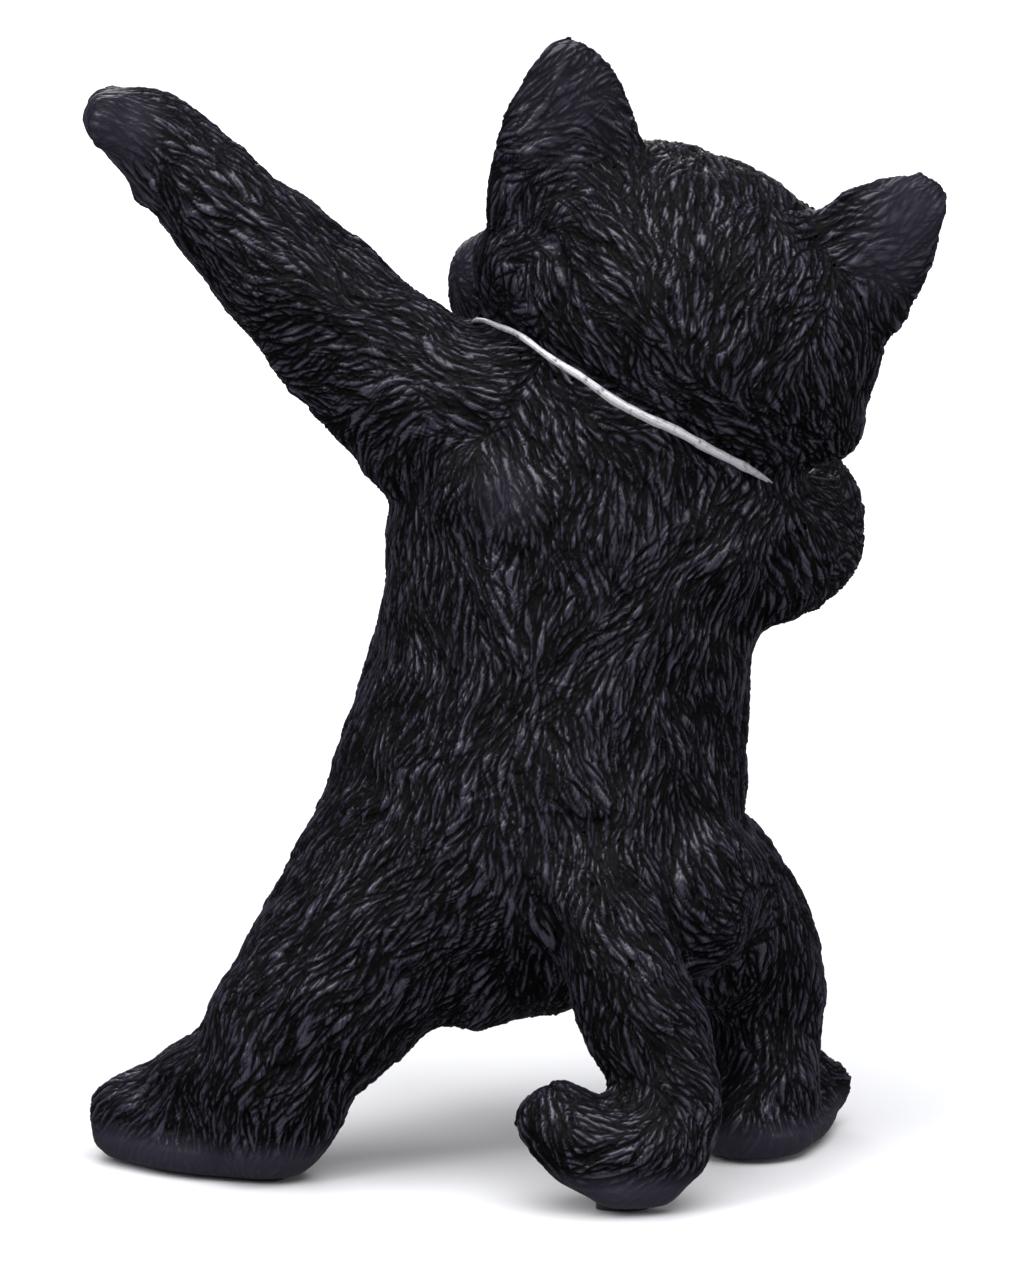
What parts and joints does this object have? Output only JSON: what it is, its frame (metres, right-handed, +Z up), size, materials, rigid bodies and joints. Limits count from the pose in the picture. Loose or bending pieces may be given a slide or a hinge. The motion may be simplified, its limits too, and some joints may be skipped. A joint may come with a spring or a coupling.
{
  "type": "cat figurine",
  "caption": "Black resin kitten figurine in a dabbing pose, with sculpted fur, an arm flung out, the other folded across its face, and a thin silver collar.",
  "frame": {"origin": "centre of the bounding box's bottom face, on the shelf the figurine stands on", "axes": "+Z up; -Y the way the cat faces; +X towards the cat's own left, where the raised arm points"},
  "size_m": [0.1657, 0.1105, 0.2185],
  "materials": {
    "black_resin": "cast polyresin painted blue-black, satin, with sculpted fur",
    "silver_band": "bright silver, lightly worn",
    "steel_rod": "plain drawn rod",
    "amber_eye": "polished acrylic cabochon, painted behind",
    "dark_felt": "pressed wool felt"
  },
  "bodies": {
    "root": {"body_casting": "black_resin", "head_casting": "black_resin", "raised_arm_casting": "black_resin", "bent_arm_casting": "black_resin", "tail_casting": "black_resin", "collar_band": "silver_band", "raised_arm_rod": "steel_rod", "bent_arm_rod": "steel_rod", "tail_rod": "steel_rod", "left_eye": "amber_eye", "right_eye": "amber_eye", "left_foot_pad": "dark_felt", "right_foot_pad": "dark_felt", "tail_pad": "dark_felt"}
  },
  "joints": []
}
